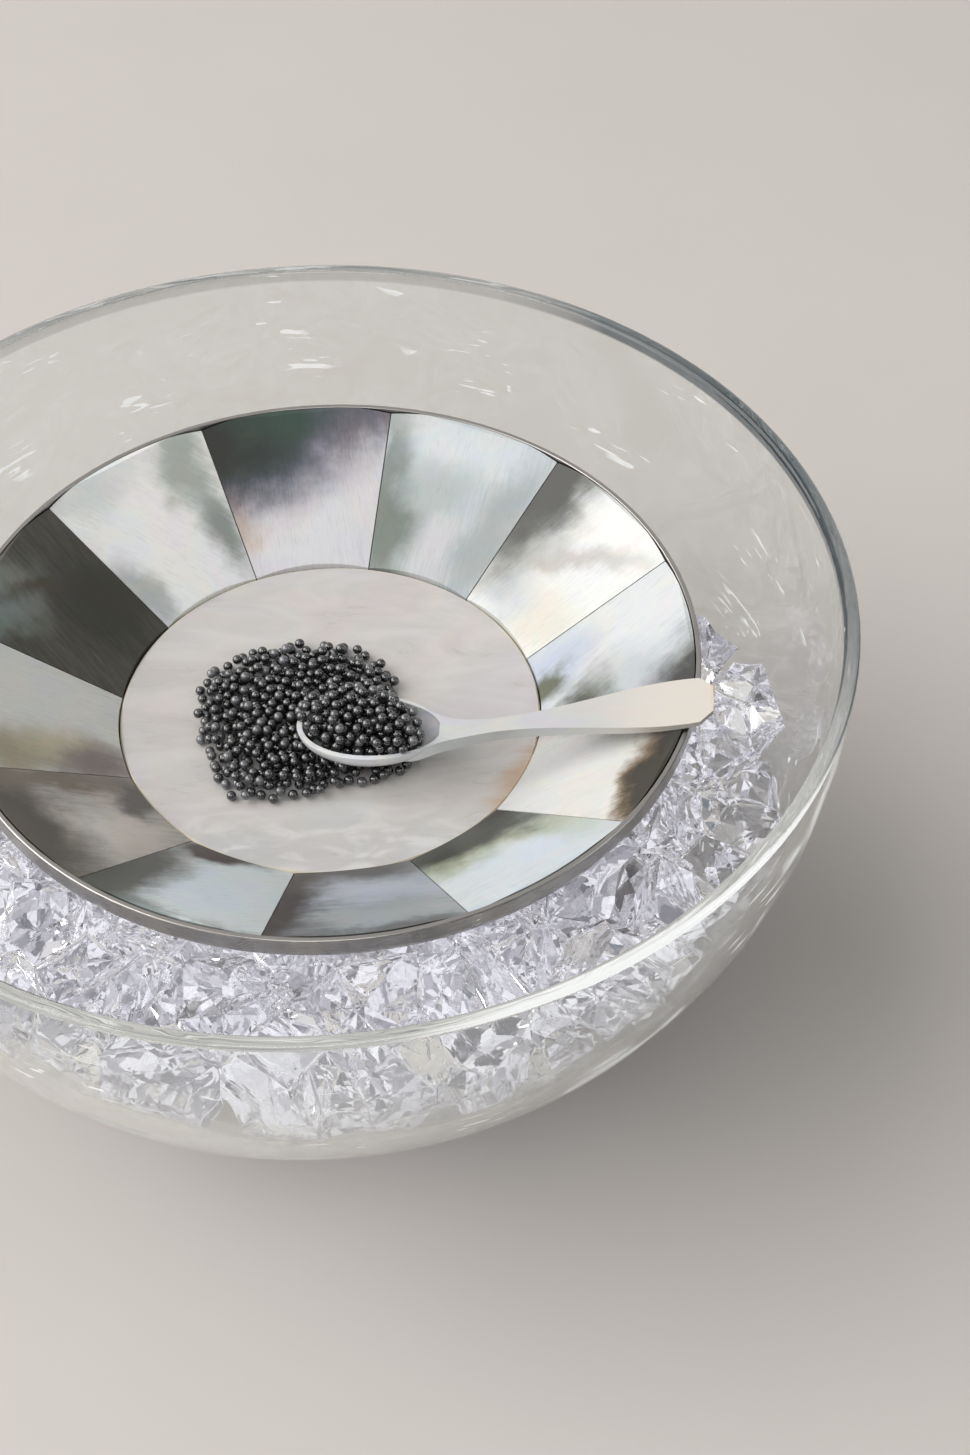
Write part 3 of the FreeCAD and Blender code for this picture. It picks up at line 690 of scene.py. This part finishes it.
spoon_pearl = Finish(bpy.data.materials.new("white_pearl_spoon"))
at = spoon_pearl.place()
along = spoon_pearl.part(at, "X")
drawn = spoon_pearl.vector("MULTIPLY", at, (0.3, 1.0, 1.0))
layers = spoon_pearl.noise(drawn, 3.5, 3.0, 0.5, 1.0)
shade = spoon_pearl.blend(
    colour(228, 229, 234), colour(238, 237, 236), spoon_pearl.step(layers, 0.38, 0.62))
shade = spoon_pearl.blend(shade, play_of_colour(spoon_pearl, drawn, 8.0),
                          spoon_pearl.step(along, 24, 46, 0.12, 0.55), "MULTIPLY")
# Tones along the handle: where each starts and is full, and its share there.
for tone, start, full, share in ((colour(192, 188, 189), 26, 42, 0.7),
                                 (colour(220, 214, 202), 64, 86, 0.8),
                                 (colour(232, 182, 134), 94.0, 95.4, 0.5)):
    shade = spoon_pearl.blend(shade, tone, spoon_pearl.step(along, start, full, 0, share))
dress(solids["spoon"], spoon_pearl.show(spoon_pearl.principled(
    Base_Color=shade, Roughness=layers * 0.12 + 0.16, Coat_Weight=0.9, Coat_Roughness=0.04,
    Normal=spoon_pearl.bump(layers, 0.15 * mm, 0.4))))


# Caviar: wet black grains, 2.5 mm across, heaped on the centre slip and in the spoon. Each grain
# lies where it comes to rest on the slip, on the spoon's hollow or on the grains below it.

grain = 2.5
grain_half = grain / 2
grain_seed = 5
pale_rarity = 9
slip_top = 85.03
heap_outline = ((-33, 5), (-30, 13), (-22, 19), (-12, 22), (3, 22), (11, 16.5), (15.5, 11), (17, 0),
                (22, -13), (19, -22), (5, -25), (-2, -28), (-16, -30.5), (-24, -28), (-31, -12))
heap_middle = (-7.0, -6.0)
heap_reach = ((-34, 24), (-34, 23))
heap_layers = ((1.0, 320), (0.86, 190), (0.66, 80))
spoon_middle = (13.1, -16.4, 97.7)
spoon_turn = -3.1
spoon_front = 16.5
spoon_rear = 18.0
spoon_half_width = 10.7
spoon_depth = 8.0
spoon_wall = 1.3
spoonful_rear = spoon_rear - 4.5
spoonful_front = spoon_front - 0.4
spoonful_half_width = spoon_half_width - 1.6
spoonful_reach = ((-18, 14), (-10, 13))
spoonful_layers = ((0.85, 60), (0.95, 60), (1.0, 70), (0.75, 30))
places_tried = 26
no_ceiling = 1000.0


def in_outline(x, y, scale):
    """Whether a place lies in the heap's outline, shrunk by a scale about the heap's middle."""
    x = heap_middle[0] + (x - heap_middle[0]) / scale
    y = heap_middle[1] + (y - heap_middle[1]) / scale
    hit = False
    for i in range(len(heap_outline)):
        x1, y1 = heap_outline[i - 1]
        x2, y2 = heap_outline[i]
        if (y1 > y) != (y2 > y) and x < x1 + (y - y1) * (x2 - x1) / (y2 - y1):
            hit = not hit
    return hit


def spoon_share(x, y, margin):
    """A place's share of the way to the spoon's edge, with the edge moved out by a margin."""
    dx, dy = x - spoon_middle[0], y - spoon_middle[1]
    over = math.radians(spoon_turn)
    along = dx * math.cos(over) + dy * math.sin(over)
    across = dy * math.cos(over) - dx * math.sin(over)
    length = (spoon_rear if along > 0 else spoon_front) + margin
    return math.hypot(along / length, across / (spoon_half_width + margin))


def under_spoon(x, y):
    """The highest that a grain's middle may lie below the spoon at a place."""
    share = spoon_share(x, y, grain_half)
    if share >= 1:
        return no_ceiling
    return spoon_middle[2] - (spoon_depth + grain_half) * math.sqrt(1 - share * share)


def spoon_floor(x, y):
    """The height at which a grain's middle rests on the spoon's hollow or rim."""
    share = spoon_share(x, y, -spoon_wall - grain_half)
    if share >= 1:
        return spoon_middle[2] + grain_half * 0.9
    depth = spoon_depth - spoon_wall - grain_half
    return spoon_middle[2] - depth * math.sqrt(1 - share * share)


def resting_height(x, y, floor, cells):
    """The height of a grain's middle that is let down at a place."""
    height = floor
    column, row = int(x // grain), int(y // grain)
    for i in range(column - 1, column + 2):
        for j in range(row - 1, row + 2):
            for gx, gy, gz in cells.get((i, j), ()):
                apart = (gx - x) ** 2 + (gy - y) ** 2
                if apart < grain * grain:
                    height = max(height, gz + math.sqrt(grain * grain - apart))
    return height


def heaped_grains(layers, pick, floor_at, top_at):
    """Grains let down one by one, each at the lowest of several places tried."""
    cells = {}
    grains = []
    for scale, count in layers:
        for _ in range(count):
            best = None
            for _ in range(places_tried):
                x, y = pick(scale)
                height = resting_height(x, y, floor_at(x, y), cells)
                if height <= top_at(x, y) and (best is None or height < best[2]):
                    best = (x, y, height)
            if best is None:
                continue
            grains.append(best)
            cells.setdefault((int(best[0] // grain), int(best[1] // grain)), []).append(best)
    return grains


def heap_place(scale):
    """A random place in the heap's outline."""
    while True:
        x, y = chance.uniform(*heap_reach[0]), chance.uniform(*heap_reach[1])
        if in_outline(x, y, scale):
            return x + dish_middle[0], y + dish_middle[1]


def spoon_place(scale):
    """A random place in the spoon, where the grains lie nearer its far edge at the front."""
    while True:
        along, across = chance.uniform(*spoonful_reach[0]), chance.uniform(*spoonful_reach[1])
        length = spoonful_rear if along > 0 else spoonful_front
        shift = 2.0 - max(along, 0) * 0.4
        if math.hypot(along / length, (across - shift) / spoonful_half_width) < scale:
            over = math.radians(spoon_turn)
            return (spoon_middle[0] + along * math.cos(over) - across * math.sin(over),
                    spoon_middle[1] + along * math.sin(over) + across * math.cos(over))


def ball():
    """The corners and faces of a round grain 1 across, from a twenty-faced solid cut finer."""
    mesh = bpy.data.meshes.new("grain")
    form = bmesh.new()
    bmesh.ops.create_icosphere(form, subdivisions=3, radius=0.5)
    form.to_mesh(mesh)
    form.free()
    corners = [v.co.copy() for v in mesh.vertices]
    faces = [tuple(p.vertices) for p in mesh.polygons]
    bpy.data.meshes.remove(mesh)
    return corners, faces


def grains_object(name, grains, chance):
    """All the grains as one mesh, each a little uneven in size, with a tone of its own."""
    corners, faces = ball()
    points, polygons, tones = [], [], []
    for x, y, z in grains:
        size = grain * chance.uniform(0.93, 1.0)
        base = len(points)
        points += [((x + c.x * size) * mm, (y + c.y * size) * mm, (z + c.z * size) * mm)
                   for c in corners]
        polygons += [tuple(base + i for i in f) for f in faces]
        tones += [chance.random() ** pale_rarity] * len(faces)
    mesh = bpy.data.meshes.new(name)
    mesh.from_pydata(points, [], polygons)
    mesh.polygons.foreach_set("use_smooth", [True] * len(polygons))
    tone = mesh.attributes.new("tone", "FLOAT", "FACE")
    tone.data.foreach_set("value", tones)
    mesh.update()
    made = bpy.data.objects.new(name, mesh)
    bpy.context.scene.collection.objects.link(made)
    return made


caviar = Finish(bpy.data.materials.new("caviar"))
tone = caviar.node("ShaderNodeAttribute", {"attribute_name": "tone"}, output="Fac")
film = caviar.noise(caviar.place(), 0.7, 2.0)
roe = caviar.blend(colour(10, 11, 12), colour(24, 25, 27), film)
roe = caviar.blend(roe, colour(104, 105, 110), tone)
caviar_material = caviar.show(caviar.principled(
    Base_Color=roe, Roughness=film * 0.12 + 0.24, Specular_IOR_Level=0.2,
    Coat_Weight=1.0, Coat_Roughness=0.18, Coat_IOR=1.9,
    Normal=caviar.bump(film, 0.04 * mm, 0.4)))

chance = random.Random(grain_seed)
heap = heaped_grains(heap_layers, heap_place, lambda x, y: slip_top + grain_half, under_spoon)
spoonful = heaped_grains(spoonful_layers, spoon_place, spoon_floor, lambda x, y: no_ceiling)
for name, grains, node in (("caviar_grains", heap, "caviar_heap"),
                           ("spoonful_grains", spoonful, "spoonful_of_caviar")):
    piece = grains_object(name, grains, chance)
    dress(piece, caviar_material)
    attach(piece, "root")
    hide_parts(node)


# Studio: a round table top covered in pale warm grey paper, a large soft lamp at the left, a
# small one in front and a weak one at the right. The room is pale all round, but grey at the
# right where glass and polished pieces show it.

table_radius = 0.8
table_corners = 96
around = [math.tau * i / table_corners for i in range(table_corners)]
floor_mesh = bpy.data.meshes.new("table_top")
floor_mesh.from_pydata(
    [(table_radius * math.cos(a), table_radius * math.sin(a), 0) for a in around], [],
    [tuple(range(table_corners))])
table_top = bpy.data.objects.new("table_top", floor_mesh)
bpy.context.scene.collection.objects.link(table_top)
paper = Finish(bpy.data.materials.new("table_paper"))
mottle = paper.noise(paper.place(), 60.0, 2.0)
dress(table_top, paper.show(paper.principled(
    Base_Color=paper.blend(colour(209, 204, 199), colour(213, 208, 203), mottle),
    Roughness=0.8)))

lamp_aim = (0.0, 0.0, 0.1)


def soft_lamp(name, place, size, power, shade):
    """A soft rectangular lamp that points at the dish."""
    lamp = bpy.data.lights.new(name, "AREA")
    lamp.shape = "RECTANGLE"
    lamp.size, lamp.size_y = size
    lamp.energy = power
    lamp.color = shade
    made = bpy.data.objects.new(name, lamp)
    turn = (Vector(lamp_aim) - Vector(place)).to_track_quat("-Z", "Y")
    made.matrix_world = Matrix.Translation(place) @ turn.to_matrix().to_4x4()
    bpy.context.scene.collection.objects.link(made)


soft_lamp("key_lamp", (-2.4, 0.05, 1.82), (3.6, 3.15), 130, (1.0, 0.985, 0.97))
soft_lamp("front_lamp", (-0.05, -0.75, 1.15), (0.5, 0.5), 3.0, (1.0, 1.0, 1.0))
soft_lamp("side_lamp", (1.1, -0.2, 0.7), (0.3, 0.9), 2.5, (0.97, 0.985, 1.0))

room_light = (colour(224, 221, 219), 0.27)
room_seen = (colour(230, 228, 226), 0.95)
room_right = (colour(128, 134, 139), 0.9)
to_right_wall = (0.95, -0.31, 0.0)
bpy.context.scene.world = bpy.data.worlds.new("room")
room = Finish(bpy.context.scene.world)
camera_ray, glossy_ray, transmission_ray = [
    room.node("ShaderNodeLightPath", output=ray)
    for ray in ("Is Camera Ray", "Is Glossy Ray", "Is Transmission Ray")]
seen = room.math("MINIMUM", camera_ray + glossy_ray + transmission_ray, 1.0)
towards = room.node("ShaderNodeTexCoord", output="Generated")
at_right = room.step(room.along(towards, to_right_wall), 0.05, 0.75) * (1 - camera_ray)
lit, shown, shown_right = [
    room.node("ShaderNodeBackground", {}, {"Color": shade, "Strength": strength})
    for shade, strength in (room_light, room_seen, room_right)]
room.node("ShaderNodeOutputWorld", {}, {
    "Surface": room.mixed(lit, room.mixed(shown, shown_right, at_right), seen)})

bpy.context.scene.view_settings.view_transform = "Standard"
cycles = bpy.context.scene.cycles
cycles.max_bounces = 10
cycles.glossy_bounces = 10
cycles.transmission_bounces = 10
cycles.transparent_max_bounces = 16
cycles.caustics_reflective = False
cycles.caustics_refractive = False
